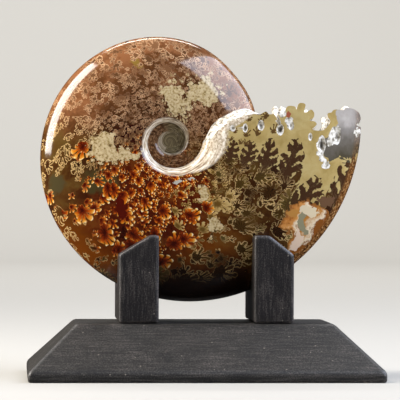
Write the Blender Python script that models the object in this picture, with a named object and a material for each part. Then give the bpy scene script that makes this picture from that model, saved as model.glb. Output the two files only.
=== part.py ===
"""A polished cleoniceras ammonite resting in a small black wooden display stand.

The stand is a plinth with sloping sides and two notched uprights. The ammonite is one solid, a
logarithmic coil that ends in a broken, frilled aperture. Lengths are written in millimetres and
turned to metres where a mesh is made. The origin is the middle of the plinth's underside, X runs
along the plinth, the viewer stands on the -Y side, and Z is up.
"""

import math

import bmesh
import bpy
from mathutils.geometry import delaunay_2d_cdt

MM = 0.001
GAP = 0.3

# Plinth.
BASE_WIDTH = 152.0
BASE_DEPTH = 89.0
BASE_HEIGHT = 24.2
BASE_RIM = 4.4
BASE_TOP_WIDTH = 110.8
BASE_TOP_DEPTH = 48.2
BASE_EDGE = 1.2

# Uprights: x of the inner face, width outwards, height above the plinth and the sloping top.
UPRIGHT_WIDTH = 17.1
UPRIGHT_DEPTH = 48.0
UPRIGHT_HEIGHT = 37.8
UPRIGHT_SHOULDER = 29.6
UPRIGHT_EDGE = 1.0
LEFT_INNER_X = -20.0
LEFT_FLAT = 3.6
RIGHT_INNER_X = 21.0
RIGHT_FLAT = 6.6
NOTCH_CLEARANCE = 0.6

# Coil. The outer edge is r = FIRST_RADIUS * exp(GROWTH * angle), with the angle in radians
# from +X and one full turn more on each whorl.
COIL_X = -14.1
COIL_Z = 101.7
FIRST_RADIUS = 38.0
GROWTH = 0.1246
HALF_THICKNESS = 11.7
THICKNESS_GROWTH = 0.0746
WHORL = math.exp(2 * math.pi * GROWTH)
THICKNESS_WHORL = math.exp(2 * math.pi * THICKNESS_GROWTH)

# Section of a whorl, as shares of its outer radius: the umbilical seam, and where it is thickest.
SEAM = 0.17
CREST = 0.33
WALL_POWER = 2.6
FLANK_POWER = 2.2
VENTER_POWER = 0.56

# A shallow flat that the polishing left on the outer edge just above the aperture.
FLAT_DEPTH = 0.8
FLAT_ANGLE = math.radians(48.0)
FLAT_SPREAD = math.radians(17.0)

# The umbilicus sits a little off the centre of the outer spiral, and its middle is worn flat.
UMBILICUS_SHIFT = (-0.6, 1.0)
SHIFT_NEAR = 12.0
SHIFT_FAR = 45.0
BUTTON_RADIUS = 3.4
BUTTON_FADE = 5.4
BUTTON_HALF_THICKNESS = 6.6

# Mesh steps.
STEPS_PER_WHORL = 64
INNER_STEPS = 84
BAND_STEPS = 59
FLANK_STEPS = 12
WALL_ANGLES = (0.0, 38.0, 68.0)
CAP_STEPS = 4
OUTER_STEP = math.radians(4.0)
PATCH_STEP = math.radians(2.8)
PATCH_SPAN = math.radians(56.0)
PATCH_FINE_FROM = math.radians(346.0)
PATCH_GAP = 1.15
PIT_SIDES = 8

# The broken edge. It starts at the seam at START_ANGLE, crosses the earlier whorl and then stands
# free. START_EDGE is where the earlier whorl comes out from under it: (share of the radius, degrees).
START_ANGLE = math.radians(-4.0)
START_EDGE = ((0.372, -4.0), (0.41, 10.0), (0.473, 20.4), (0.568, 25.5),
              (0.77, 26.9), (0.90, 25.2), (1.0, 20.0))

# Edge of the last whorl where it lies over the earlier one, from the coil's centre (x, z).
COVERING_MARGIN = ((14.0, -0.9), (17.4, 0.3), (19.0, 3.3), (22.4, 6.7), (28.9, 10.6),
                   (33.2, 12.2), (37.8, 12.4))

# The free edge, with its knobs and the deep bite, from the coil's centre (x, z).
FRILLED_MARGIN = (
    (37.8, 12.4), (40.2, 13.7), (41.7, 12.5), (43.7, 12.7), (45.1, 11.2), (44.4, 10.2), (45.9, 9.7),
    (46.9, 11.7), (45.3, 14.3), (46.6, 15.9), (48.4, 14.9), (49.5, 16.3), (52.9, 16.0), (53.6, 14.7),
    (54.5, 17.1), (56.1, 17.6), (57.6, 16.8), (56.9, 13.7), (58.1, 13.5), (60.1, 14.8), (61.5, 13.3),
    (61.2, 11.3), (59.5, 10.1), (61.8, 9.6), (62.6, 8.3), (60.7, 6.3), (63.0, 5.7), (65.8, 6.0),
    (68.1, 8.3), (68.8, 10.0), (67.7, 11.7), (67.7, 13.3), (69.4, 13.7), (70.6, 14.9), (74.9, 14.9),
    (76.3, 15.8), (79.3, 15.5), (81.7, 14.4), (82.9, 13.1), (83.4, 11.0), (82.3, 9.7), (80.7, 9.2),
    (81.5, 8.2), (83.4, 7.6), (84.26, 6.3),
)

# Floor of the break in the coil's plane, between the two flanks: (x, z) from the centre.
BREAK_FLOOR = ((37.3, 13.6), (41.2, 8.9), (46.0, 5.6), (57.0, 1.3), (68.1, 0.1), (76.0, 2.3),
               (80.8, 5.5), (84.26, 6.3))
FLOOR_SETBACK = 1.2

# Between these x the edge stands free, and there the far flank broke in slow waves of its own:
# (height, radians per millimetre, start). A gap in the near flank is (x, half width, depth).
FREE_START = (38.0, 44.0)
FREE_END = (76.0, 83.0)
FAR_WAVE_X = (0.8, 0.5, 0.0)
FAR_WAVE_Z = (1.4, 0.42, 0.6)
NEAR_GAP = (47.0, 1.9, 2.6)

# Hollows under the broken edge: (x, z, half width, half height, depth).
PITS = (
    (26.3, 5.9, 1.2, 1.6, 1.3), (31.5, 6.2, 1.1, 2.2, 1.5), (38.2, 7.6, 1.5, 2.4, 1.8),
    (46.5, 6.0, 1.7, 2.7, 2.0), (51.3, 7.7, 1.4, 2.1, 1.4), (59.8, 3.0, 1.0, 1.8, 1.4),
    (65.0, -0.3, 1.9, 4.2, 2.4), (71.9, 3.7, 1.8, 4.2, 1.6),
)


def smooth_step(low, high, value):
    """0 below low, 1 above high, and an S curve between."""
    share = min(1.0, max(0.0, (value - low) / (high - low)))
    return share * share * (3 - 2 * share)


def along(table, x):
    """y at x on a line drawn through (x, y) pairs."""
    for (x0, y0), (x1, y1) in zip(table, table[1:]):
        if x <= x1:
            return y0 + (y1 - y0) * max(0.0, x - x0) / (x1 - x0)
    return table[-1][1]


def wave(shape, x):
    """A slow wave of (height, radians per millimetre, start) at x."""
    return shape[0] * math.sin(shape[1] * x + shape[2])


def coil_radius(angle):
    """Radius of the coil's outer edge."""
    return FIRST_RADIUS * math.exp(GROWTH * angle)


def half_thickness(angle):
    """Half of the whorl's greatest thickness."""
    return HALF_THICKNESS * math.exp(THICKNESS_GROWTH * angle)


def section(across):
    """(share of the radius, share of the half thickness) at 0 on the seam to pi on the outer edge."""
    if across < math.pi / 2:
        out = max(0.0, math.cos(across)) ** (2 / WALL_POWER)
        up = math.sin(across) ** (2 / WALL_POWER)
        return CREST - (CREST - SEAM) * out, SEAM_RISE + (1 - SEAM_RISE) * up
    turn = across - math.pi / 2
    out = math.sin(turn) ** (2 / FLANK_POWER)
    up = max(0.0, math.cos(turn)) ** (2 * VENTER_POWER)
    return CREST + (1 - CREST) * out, up


def across_at(share):
    """The section angle at a share of the radius."""
    if share < CREST:
        out = (CREST - share) / (CREST - SEAM)
        return math.acos(min(1.0, out) ** (WALL_POWER / 2))
    out = min(1.0, (share - CREST) / (1 - CREST))
    return math.pi / 2 + math.asin(out ** (FLANK_POWER / 2))


# The next whorl's seam lies on this whorl, so the two surfaces meet there.
SEAM_RISE = 1.0
NEXT_SEAM = across_at(SEAM * WHORL)
SEAM_RISE = section(NEXT_SEAM)[1] / THICKNESS_WHORL


def flank_point(angle, across, side):
    """A point of the shell's surface. side is -1 on the front and 1 on the back."""
    share, rise = section(across)
    flat = FLAT_DEPTH * math.exp(-(((angle - FLAT_ANGLE) / FLAT_SPREAD) ** 2))
    radius = share * coil_radius(angle) - flat * smooth_step(0.5, 1.0, share)
    half = rise * half_thickness(angle)
    button = smooth_step(BUTTON_RADIUS, BUTTON_FADE, radius)
    half = BUTTON_HALF_THICKNESS + (half - BUTTON_HALF_THICKNESS) * button
    shift = 1 - smooth_step(SHIFT_NEAR, SHIFT_FAR, radius)
    x = radius * math.cos(angle) + shift * UMBILICUS_SHIFT[0]
    z = radius * math.sin(angle) + shift * UMBILICUS_SHIFT[1]
    return x, side * half, z


def coil_place(x, z):
    """(angle, section angle) on the last whorl at a place in the coil's plane."""
    angle = math.atan2(z, x)
    if angle < math.radians(90):
        angle += 2 * math.pi
    return angle, across_at(math.hypot(x, z) / coil_radius(angle))


def in_metres(point):
    """A point from the coil's centre, in millimetres, as a place in the part."""
    x, y, z = point
    return (COIL_X + x) * MM, y * MM, (COIL_Z + z) * MM


def covering_margin():
    """The last whorl's edge over the earlier whorl, one point for each point of START_EDGE's row."""
    lengths = [0.0]
    for (x0, z0), (x1, z1) in zip(COVERING_MARGIN, COVERING_MARGIN[1:]):
        lengths.append(lengths[-1] + math.hypot(x1 - x0, z1 - z0))
    xs = [(length, x) for length, (x, _) in zip(lengths, COVERING_MARGIN)]
    zs = [(length, z) for length, (_, z) in zip(lengths, COVERING_MARGIN)]
    total = lengths[-1]
    first = SEAM * coil_radius(START_ANGLE + 2 * math.pi)
    points = [(first * math.cos(START_ANGLE), first * math.sin(START_ANGLE))]
    for step in range(1, FLANK_STEPS + 1):
        length = total * step / FLANK_STEPS
        points.append((along(xs, length), along(zs, length)))
    return points


def margin(side):
    """(angle, section angle) along the whole broken edge, from the seam to the outer edge."""
    points = covering_margin()
    for x, z in FRILLED_MARGIN[1:]:
        if side > 0:
            # The far flank broke a little differently.
            fade = smooth_step(*FREE_START, x) * (1 - smooth_step(*FREE_END, x))
            x, z = x + fade * wave(FAR_WAVE_X, z), z + fade * wave(FAR_WAVE_Z, x)
        else:
            # A gap in the near flank shows the far one behind it.
            z = z - NEAR_GAP[2] * math.exp(-(((x - NEAR_GAP[0]) / NEAR_GAP[1]) ** 2))
        points.append((x, z))
    places = [coil_place(x, z) for x, z in points]
    places[0] = (START_ANGLE + 2 * math.pi, 0.0)
    places[-1] = (places[-1][0], math.pi)
    return places


def steady(values):
    """The values as a curve that only rises."""
    high = values[:]
    low = values[:]
    for i in range(1, len(values)):
        high[i] = max(high[i], high[i - 1])
    for i in range(len(values) - 2, -1, -1):
        low[i] = min(low[i], low[i + 1])
    middle = [(a + b) / 2 for a, b in zip(high, low)]
    ends = [middle[0]] + middle + [middle[-1]]
    return [sum(ends[i:i + 3]) / 3 for i in range(len(middle))]


class Shell:
    """Collects the shell's faces as corner points, to be joined where they meet."""

    def __init__(self):
        self.mesh = bmesh.new()

    def face(self, corners):
        """Adds one face unless it has shrunk to a line."""
        distinct = []
        for corner in corners:
            if all(math.dist(corner, other) > 1e-4 for other in distinct):
                distinct.append(corner)
        if len(distinct) > 2:
            self.mesh.faces.new([self.mesh.verts.new(in_metres(p)) for p in distinct])

    def strip(self, first, second):
        """Adds the faces between two rows of points."""
        for a, b, c, d in zip(first, first[1:], second[1:], second):
            self.face((a, b, c))
            self.face((a, c, d))


def section_angles():
    """Section angles of the grid, from the seam to the outer edge."""
    wall = [math.radians(a) for a in WALL_ANGLES]
    flank = [NEXT_SEAM + (math.pi - NEXT_SEAM) * i / FLANK_STEPS for i in range(FLANK_STEPS + 1)]
    return wall + flank


def grid_angle(step):
    """The coil angle of a grid row, counted from the start of the last whorl."""
    return START_ANGLE + step * 2 * math.pi / STEPS_PER_WHORL


def start_row(side):
    """The earlier whorl's edge where it comes out from under the last whorl."""
    row = []
    for across in section_angles():
        share = section(across)[0]
        angle = math.radians(along(START_EDGE, share)) if across > NEXT_SEAM else START_ANGLE
        row.append((angle, across))
    return [flank_point(angle, across, side) for angle, across in row]


def add_whorls(shell, side):
    """The polished flank, from the middle of the umbilicus to where the end patch begins."""
    angles = section_angles()
    wall = angles[:len(WALL_ANGLES) + 1]
    rows = []
    for step in range(-INNER_STEPS, 1):
        rows.append([flank_point(grid_angle(step), a, side) for a in wall])
    for first, second in zip(rows, rows[1:]):
        shell.strip(first, second)
    centre = (UMBILICUS_SHIFT[0], side * BUTTON_HALF_THICKNESS, UMBILICUS_SHIFT[1])
    ring = [flank_point(grid_angle(s), 0.0, side)
            for s in range(-INNER_STEPS, STEPS_PER_WHORL - INNER_STEPS + 1)]
    ring += rows[0][-2::-1]
    for a, b in zip(ring, ring[1:]):
        shell.face((a, b, centre))
    fade_steps = STEPS_PER_WHORL // 6
    rows = [start_row(side)]
    for step in range(1, BAND_STEPS + 1):
        keep = max(0.0, 1 - step / fade_steps)
        row = []
        for across in angles:
            late = 0.0
            if across > NEXT_SEAM:
                late = math.radians(along(START_EDGE, section(across)[0])) - START_ANGLE
            row.append(flank_point(grid_angle(step) + late * keep, across, side))
        rows.append(row)
    for first, second in zip(rows, rows[1:]):
        shell.strip(first, second)


def inside(point, outline):
    """True if a point lies within a closed outline."""
    x, y = point
    odd = False
    for (x0, y0), (x1, y1) in zip(outline, outline[1:] + outline[:1]):
        if (y0 > y) != (y1 > y) and x < x0 + (y - y0) * (x1 - x0) / (y1 - y0):
            odd = not odd
    return odd


LAID_ANGLE_SCALE = 60.0
LAID_ACROSS_SCALE = 43.0


def flat_place(angle, across):
    """The surface near the break laid out flat, about to scale."""
    return angle * LAID_ANGLE_SCALE, across * LAID_ACROSS_SCALE


def pit_depth(x, z):
    """How deep the surface lies under the polished flank at a place in the coil's plane."""
    depth = 0.0
    for pit_x, pit_z, half_width, half_height, most in PITS:
        reach = math.hypot((x - pit_x) / half_width, (z - pit_z) / half_height)
        depth = max(depth, most * (1 - smooth_step(0.0, 1.0, reach)))
    return depth


def add_break_patch(shell, side, edge):
    """The polished flank up to the broken edge, with its pits."""
    start = grid_angle(BAND_STEPS)
    angles = section_angles()
    outer_end = edge[-1][0]
    outer_steps = round((outer_end - start) / OUTER_STEP)
    outer = [(start + (outer_end - start) * i / outer_steps, math.pi) for i in range(1, outer_steps)]
    seam = [(grid_angle(s), 0.0) for s in range(BAND_STEPS + 1, STEPS_PER_WHORL)]
    places = [(start, a) for a in angles] + outer + edge[::-1] + seam[::-1]
    outline = [flat_place(*place) for place in places]
    count = len(outline)

    inner = []
    for pit_x, pit_z, half_width, half_height, _ in PITS:
        inner.append(coil_place(pit_x, pit_z))
        for i in range(PIT_SIDES):
            turn = i * 2 * math.pi / PIT_SIDES
            inner.append(coil_place(pit_x + half_width * math.cos(turn),
                                    pit_z + half_height * math.sin(turn)))
    angle = start
    while angle < start + PATCH_SPAN:
        angle += PATCH_STEP
        inner += [(angle, a) for a in angles[1:-1]]
        if angle > PATCH_FINE_FROM:
            inner += [(angle, (a + b) / 2) for a, b in zip(angles[3:-2], angles[4:-1])]
    flat = outline[:]
    kept = places[:]
    for place in inner:
        point = flat_place(*place)
        if inside(point, outline) and all(math.dist(point, other) > PATCH_GAP for other in flat):
            flat.append(point)
            kept.append(place)

    edges = [(i, (i + 1) % count) for i in range(count)]
    _, _, faces, sources, _, _ = delaunay_2d_cdt(flat, edges, [], 1, 1e-6)
    for face in faces:
        corners = []
        for i in face:
            source = sources[i][0]
            x, y, z = flank_point(*kept[source], side)
            if source >= count:
                y -= side * pit_depth(x, z)
            corners.append((x, y, z))
        shell.face(corners)


def break_floor(edges):
    """Points of the break's floor in the coil's plane, one under each point of the free edges."""
    near, far = ([flank_point(*place, -1)[0] for place in edge[FLANK_STEPS:]] for edge in edges)
    free = steady([(a + b) / 2 for a, b in zip(near, far)])
    reach = (free[-1] - free[0]) / (BREAK_FLOOR[-1][0] - BREAK_FLOOR[0][0])
    xs = [BREAK_FLOOR[0][0] + (x - free[0]) / reach for x in free[1:-1]]
    # Near its end the floor keeps clear of the outer edge.
    xs = [x - FLOOR_SETBACK * smooth_step(*FREE_END, x) for x in xs]
    return [(x, 0.0, along(BREAK_FLOOR, x)) for x in xs]


def add_break(shell, side, edge, floor):
    """Half of the broken face, from the flank's edge down to the floor in the coil's plane."""
    rim = [flank_point(angle, across, side) for angle, across in edge]
    bottom = start_row(side)[len(WALL_ANGLES):] + floor + [rim[-1]]
    rows = [rim]
    for step in range(1, CAP_STEPS):
        t = step / CAP_STEPS
        row = []
        for i, (top, low) in enumerate(zip(rim, bottom)):
            hang = smooth_step(FLANK_STEPS - 3, FLANK_STEPS + 2, i)
            slide = (1 - hang) * math.sin(t * math.pi / 2) + hang * smooth_step(0.05, 0.95, t)
            sink = (1 - hang) * (1 - math.cos(t * math.pi / 2)) + hang * t
            row.append((top[0] + (low[0] - top[0]) * slide,
                        top[1] + (low[1] - top[1]) * sink,
                        top[2] + (low[2] - top[2]) * slide))
        rows.append(row)
    rows.append(bottom)
    for first, second in zip(rows, rows[1:]):
        shell.strip(first, second)


def paint(obj, name, colour, roughness):
    """Gives an object its own Principled material."""
    material = bpy.data.materials.new(name)
    material.use_nodes = True
    shader = material.node_tree.nodes["Principled BSDF"]
    shader.inputs["Base Color"].default_value = (*colour, 1.0)
    shader.inputs["Roughness"].default_value = roughness
    obj.data.materials.append(material)


def add_object(name, mesh):
    """Turns a bmesh into an object in the scene."""
    data = bpy.data.meshes.new(name)
    mesh.to_mesh(data)
    mesh.free()
    obj = bpy.data.objects.new(name, data)
    bpy.context.scene.collection.objects.link(obj)
    return obj


def make_ammonite():
    """The fossil, one closed solid."""
    shell = Shell()
    edges = (margin(-1), margin(1))
    floor = break_floor(edges)
    for side, edge in zip((-1, 1), edges):
        add_whorls(shell, side)
        add_break_patch(shell, side, edge)
        add_break(shell, side, edge, floor)
    bmesh.ops.remove_doubles(shell.mesh, verts=shell.mesh.verts, dist=2e-6)
    bmesh.ops.recalc_face_normals(shell.mesh, faces=shell.mesh.faces)
    obj = add_object("ammonite", shell.mesh)
    obj.data.shade_smooth()
    obj.data.set_sharp_from_angle(angle=math.radians(50))
    paint(obj, "polished_stone", (0.16, 0.08, 0.03), 0.12)
    return obj


def prism(outline, depth):
    """A solid with an outline in X and Z, in metres, centred on Y = 0."""
    mesh = bmesh.new()
    front = [mesh.verts.new((x, -depth / 2, z)) for x, z in outline]
    face = mesh.faces.new(front)
    out = bmesh.ops.extrude_face_region(mesh, geom=[face])
    moved = [v for v in out["geom"] if isinstance(v, bmesh.types.BMVert)]
    bmesh.ops.translate(mesh, verts=moved, vec=(0, depth, 0))
    bmesh.ops.recalc_face_normals(mesh, faces=mesh.faces)
    return mesh


def bevel(obj, width, segments):
    """Rounds an object's edges."""
    modifier = obj.modifiers.new("worn edges", "BEVEL")
    modifier.width = width * MM
    modifier.segments = segments
    modifier.limit_method = "ANGLE"
    modifier.angle_limit = math.radians(20)


def make_base():
    """The plinth: a low rim, then four slopes up to the flat top."""
    mesh = bmesh.new()
    levels = ((BASE_WIDTH, BASE_DEPTH, 0.0), (BASE_WIDTH, BASE_DEPTH, BASE_RIM),
              (BASE_TOP_WIDTH, BASE_TOP_DEPTH, BASE_HEIGHT))
    rings = []
    for width, depth, height in levels:
        signs = ((-1, -1), (1, -1), (1, 1), (-1, 1))
        ring = [(sx * width / 2 * MM, sy * depth / 2 * MM, height * MM) for sx, sy in signs]
        rings.append([mesh.verts.new(p) for p in ring])
    for low, high in zip(rings, rings[1:]):
        for i in range(4):
            mesh.faces.new((low[i], low[(i + 1) % 4], high[(i + 1) % 4], high[i]))
    mesh.faces.new(rings[0][::-1])
    mesh.faces.new(rings[-1])
    obj = add_object("stand_base", mesh)
    bevel(obj, BASE_EDGE, 2)
    paint(obj, "black_stained_base", (0.012, 0.012, 0.013), 0.6)


def make_notch_cutter():
    """The fossil's rounded edge, a little enlarged, where it lies in the uprights."""
    mesh = bmesh.new()
    first = math.radians(205)
    last = math.radians(342)
    count = 22
    shares = (0.42, 0.55, 0.68, 0.79, 0.88, 0.95, 0.985, 1.0)
    rings = []
    for i in range(count + 1):
        angle = first + (last - first) * i / count
        half_ring = []
        for share in shares:
            rise = section(across_at(share))[1] * half_thickness(angle) + NOTCH_CLEARANCE
            radius = share * coil_radius(angle) + NOTCH_CLEARANCE
            half_ring.append((radius * math.cos(angle), -rise, radius * math.sin(angle)))
        far = [(x, -y, z) for x, y, z in reversed(half_ring)]
        rings.append([mesh.verts.new(in_metres(p)) for p in half_ring + far])
    size = len(rings[0])
    for a, b in zip(rings, rings[1:]):
        for i in range(size):
            mesh.faces.new((a[i], a[(i + 1) % size], b[(i + 1) % size], b[i]))
    mesh.faces.new(rings[0])
    mesh.faces.new(rings[-1][::-1])
    bmesh.ops.recalc_face_normals(mesh, faces=mesh.faces)
    obj = add_object("notch_cutter", mesh)
    obj.hide_render = True
    obj.display_type = "WIRE"
    return obj


def make_upright(name, inner_x, outward, flat, cutter):
    """A block whose top slopes down outwards. outward is -1 to the left and 1 to the right."""
    foot = BASE_HEIGHT + GAP
    top = BASE_HEIGHT + UPRIGHT_HEIGHT
    shoulder = BASE_HEIGHT + UPRIGHT_SHOULDER
    outer_x = inner_x + outward * UPRIGHT_WIDTH
    outline = ((inner_x, foot), (outer_x, foot), (outer_x, shoulder),
               (inner_x + outward * flat, top), (inner_x, top))
    mesh = prism([(x * MM, z * MM) for x, z in outline], UPRIGHT_DEPTH * MM)
    obj = add_object(name, mesh)
    bevel(obj, UPRIGHT_EDGE, 2)
    cut = obj.modifiers.new("notch", "BOOLEAN")
    cut.operation = "DIFFERENCE"
    cut.object = cutter
    paint(obj, "black_stained_" + name, (0.015, 0.015, 0.017), 0.55)


def main():
    """Builds the stand and the fossil."""
    for obj in list(bpy.data.objects):
        bpy.data.objects.remove(obj, do_unlink=True)
    make_ammonite()
    make_base()
    cutter = make_notch_cutter()
    make_upright("left_upright", LEFT_INNER_X, -1, LEFT_FLAT, cutter)
    make_upright("right_upright", RIGHT_INNER_X, 1, RIGHT_FLAT, cutter)


main()
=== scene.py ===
"""Looks of a polished cleoniceras ammonite resting in a small black wooden display stand.

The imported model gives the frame: metres, origin under the middle of the plinth, X along it, the
viewer on the -Y side and Z up. The fossil is coiled here by Geometry Nodes from a laid-out sheet,
with the same growth rule as its solid, and its break is added to the coiled sheet.
"""

from __future__ import annotations

import logging
import math
from collections.abc import Callable
from dataclasses import dataclass, field
from enum import Enum
from functools import partial

import bmesh
import bpy
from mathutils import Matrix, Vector, kdtree, noise
from mathutils.geometry import delaunay_2d_cdt

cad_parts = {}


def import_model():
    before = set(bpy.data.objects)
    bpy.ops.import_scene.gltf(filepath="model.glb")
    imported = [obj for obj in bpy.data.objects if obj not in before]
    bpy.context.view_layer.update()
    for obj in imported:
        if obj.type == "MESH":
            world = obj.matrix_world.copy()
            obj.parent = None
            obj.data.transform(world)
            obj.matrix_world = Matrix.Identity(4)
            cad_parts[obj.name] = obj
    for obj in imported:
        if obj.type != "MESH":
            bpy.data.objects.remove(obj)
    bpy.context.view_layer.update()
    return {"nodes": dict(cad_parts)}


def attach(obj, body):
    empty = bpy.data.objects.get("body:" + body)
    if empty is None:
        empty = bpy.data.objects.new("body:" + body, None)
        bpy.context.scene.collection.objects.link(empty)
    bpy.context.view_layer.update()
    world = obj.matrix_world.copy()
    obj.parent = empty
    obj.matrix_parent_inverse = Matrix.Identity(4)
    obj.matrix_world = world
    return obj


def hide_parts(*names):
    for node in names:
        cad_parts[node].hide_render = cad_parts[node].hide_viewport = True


MM = 0.001
TURN = 2 * math.pi
MATH = "ShaderNodeMath"
VECTOR = "ShaderNodeVectorMath"
RANGE = "ShaderNodeMapRange"
MIX = "ShaderNodeMix"
NOISE = "ShaderNodeTexNoise"
CELLS = "ShaderNodeTexVoronoi"
RAMP = "ShaderNodeValToRGB"
ATTRIBUTE = "ShaderNodeAttribute"
JOIN = "ShaderNodeCombineXYZ"
SPLIT = "ShaderNodeSeparateXYZ"

# Kinds of node whose inputs depend on a mode, with the name of that setting.
MODES = {MATH: "operation", VECTOR: "operation", MIX: "data_type"}

log = logging.getLogger("ammonite")

Point = tuple[float, float]
Spot = tuple[float, float, float]


class Side(Enum):
    """The fossil's two flanks, with the sign of Y that each lies on."""

    NEAR = -1
    FAR = 1


def linear(code: str) -> tuple[float, float, float, float]:
    """Turns an sRGB hex colour to linear.

    Args:
        code: Six hex digits, such as "a08050".

    Returns:
        Linear red, green, blue and full alpha.
    """
    parts = [int(code[i:i + 2], 16) / 255 for i in (0, 2, 4)]
    red, green, blue = (p / 12.92 if p <= 0.04045 else ((p + 0.055) / 1.055) ** 2.4 for p in parts)
    return red, green, blue, 1.0


def feed(tree: bpy.types.NodeTree, socket: bpy.types.NodeSocket, value: object) -> None:
    """Puts something into a node's input.

    Args:
        tree: The node tree.
        socket: The input.
        value: A node, whose first output in use is taken, a socket or a plain value.
    """
    if isinstance(value, bpy.types.Node):
        value = next(s for s in value.outputs if s.enabled)
    if isinstance(value, bpy.types.NodeSocket):
        tree.links.new(value, socket)
    else:
        socket.default_value = value


def add(tree: bpy.types.NodeTree, kind: str, *links: object, **settings: object) -> bpy.types.Node:
    """Adds a node with its settings and links.

    Args:
        tree: The node tree.
        kind: The node's type.
        links: What goes into the node's inputs in order: a node, a socket, a value or None. For a
            kind in MODES, the first is its mode.
        settings: Node properties, with a capital first letter inputs by name, and as stops a
            colour ramp's sRGB hex colours by their positions.

    Returns:
        The node.
    """
    node = tree.nodes.new(kind)
    stops = settings.pop("stops", {})
    for _ in range(2, len(stops)):
        node.color_ramp.elements.new(0.5)
    for i, (position, code) in enumerate(stops.items()):
        node.color_ramp.elements[i].position = position
        node.color_ramp.elements[i].color = linear(code)
    if kind in MODES:
        settings[MODES[kind]], *links = links
    for name, value in settings.items():
        if name[0].islower():
            setattr(node, name, value)
    ways = [(s, v) for s, v in zip([s for s in node.inputs if s.enabled], links) if v is not None]
    ways += [(next(s for s in node.inputs if s.enabled and s.name == name.replace("_", " ")), value)
             for name, value in settings.items() if name[0].isupper()]
    for socket, value in ways:
        feed(tree, socket, value)
    return node


def new_group(name: str, kind: str, inputs: dict[str, str],
              outputs: dict[str, str]) -> bpy.types.NodeTree:
    """Starts a node group.

    Args:
        name: The group's name.
        kind: "Shader" or "Geometry".
        inputs: The type of each input by its name.
        outputs: The type of each output by its name.

    Returns:
        The group's tree.
    """
    tree = bpy.data.node_groups.new(name, kind + "NodeTree")
    for way, sockets in (("INPUT", inputs), ("OUTPUT", outputs)):
        for socket, holds in sockets.items():
            tree.interface.new_socket(socket, in_out=way, socket_type="NodeSocket" + holds)
    return tree


def new_material(name: str) -> tuple[bpy.types.Material, bpy.types.Node]:
    """Starts a material.

    Args:
        name: What the thing is and how it was finished.

    Returns:
        The material and its shader.
    """
    material = bpy.data.materials.new(name)
    material.use_nodes = True
    return material, material.node_tree.nodes["Principled BSDF"]


def smooth_step(low: float, high: float, value: float) -> float:
    """Gives 0 below low, 1 above high, and an S curve between."""
    share = min(1.0, max(0.0, (value - low) / (high - low)))
    return share * share * (3 - 2 * share)


def along(table: list[Point], x: float) -> float:
    """Reads a table of (x, y) pairs as a line.

    Args:
        table: The pairs, in the order of x.
        x: Where to read it.

    Returns:
        The line's y there.
    """
    for (x0, y0), (x1, y1) in zip(table, table[1:]):
        if x <= x1:
            return y0 + (y1 - y0) * max(0.0, x - x0) / (x1 - x0)
    return table[-1][1]


def curved(points: list[Point], step: float) -> list[Point]:
    """Draws a smooth curve through points.

    Args:
        points: The points to pass through.
        step: The wanted distance between the curve's points.

    Returns:
        The curve's points, the given ones among them.
    """
    ends = [points[0], *points, points[-1]]
    curve = [points[0]]
    for a, b, c, d in zip(ends, ends[1:], ends[2:], ends[3:]):
        count = max(1, round(math.dist(b, c) / step))
        for i in range(1, count + 1):
            t = i / count
            curve.append(tuple(
                0.5 * (2 * q + (r - p) * t + (2 * p - 5 * q + 4 * r - s) * t * t
                       + (3 * q - p - 3 * r + s) * t ** 3)
                for p, q, r, s in zip(a, b, c, d)))
    return curve


def inside(point: Point, outline: list[Point]) -> bool:
    """Tells whether a point lies within a closed outline.

    Args:
        point: The point.
        outline: The outline's corners in order.

    Returns:
        Whether it does.
    """
    x, y = point
    odd = False
    for (x0, y0), (x1, y1) in zip(outline, outline[1:] + outline[:1]):
        if (y0 > y) != (y1 > y) and x < x0 + (y - y0) * (x1 - x0) / (y1 - y0):
            odd = not odd
    return odd


def steady(values: list[float]) -> list[float]:
    """Smooths values into a curve that only rises.

    Args:
        values: The values.

    Returns:
        As many values, none lower than the one before.
    """
    high = values[:]
    low = values[:]
    for i in range(1, len(values)):
        high[i] = max(high[i], high[i - 1])
    for i in range(len(values) - 2, -1, -1):
        low[i] = min(low[i], low[i + 1])
    middle = [(a + b) / 2 for a, b in zip(high, low)]
    reach = 4
    ends = [middle[0]] * reach + middle + [middle[-1]] * reach
    return [sum(ends[i:i + 2 * reach + 1]) / (2 * reach + 1) for i in range(len(middle))]


def new_object(name: str, data: bpy.types.ID) -> bpy.types.Object:
    """Puts a mesh, a light or a camera in the scene, at the origin.

    Args:
        name: The object's name.
        data: What it is.

    Returns:
        The object.
    """
    obj = bpy.data.objects.new(name, data)
    bpy.context.scene.collection.objects.link(obj)
    return obj


def finish_mesh(obj: bpy.types.Object) -> None:
    """Gives an object its evaluated mesh and takes its modifiers off.

    Args:
        obj: The object, whose own mesh is dropped.
    """
    graph = bpy.context.evaluated_depsgraph_get()
    obj.data = bpy.data.meshes.new_from_object(obj.evaluated_get(graph))
    obj.data.name = obj.name
    obj.modifiers.clear()


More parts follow.
